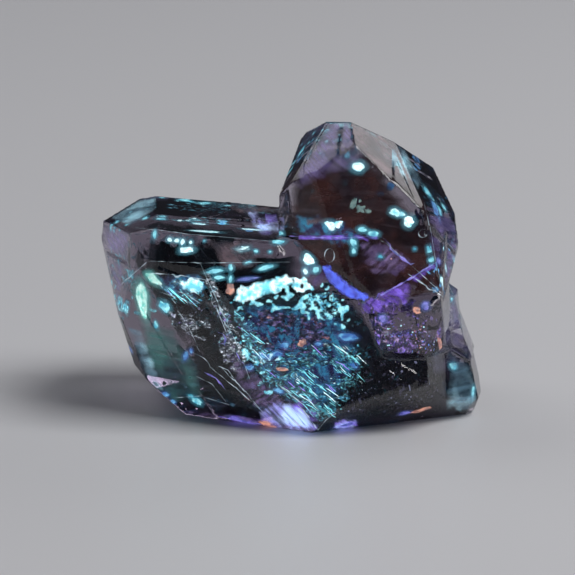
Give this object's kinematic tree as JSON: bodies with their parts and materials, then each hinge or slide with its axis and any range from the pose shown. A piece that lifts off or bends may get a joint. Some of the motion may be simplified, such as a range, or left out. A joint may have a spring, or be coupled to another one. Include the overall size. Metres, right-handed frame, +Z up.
{
  "type": "petroleum quartz crystal cluster",
  "caption": "Small clear quartz crystal cluster that rests on a flat facet, with films of oil and bitumen in its old fractures",
  "frame": {"origin": "middle of the bounding box, at the level of the facet that the cluster rests on", "axes": "+X along the longest side, +Y from front to back, +Z up"},
  "size_m": [0.0304, 0.0196, 0.0235],
  "materials": {
    "quartz": "natural crystal faces, clear and faintly violet brown, glossy with fine growth steps",
    "oil": "enclosed oil pockets and films that glow pale cyan white",
    "bitumen": "dark films and crust of bitumen in old fractures, violet and orange glints",
    "fracture": "thin wavy internal fractures and healed veils, silvery blue"
  },
  "bodies": {
    "root": {"quartz_cluster": "quartz", "petroleum_films": "bitumen"}
  },
  "joints": []
}
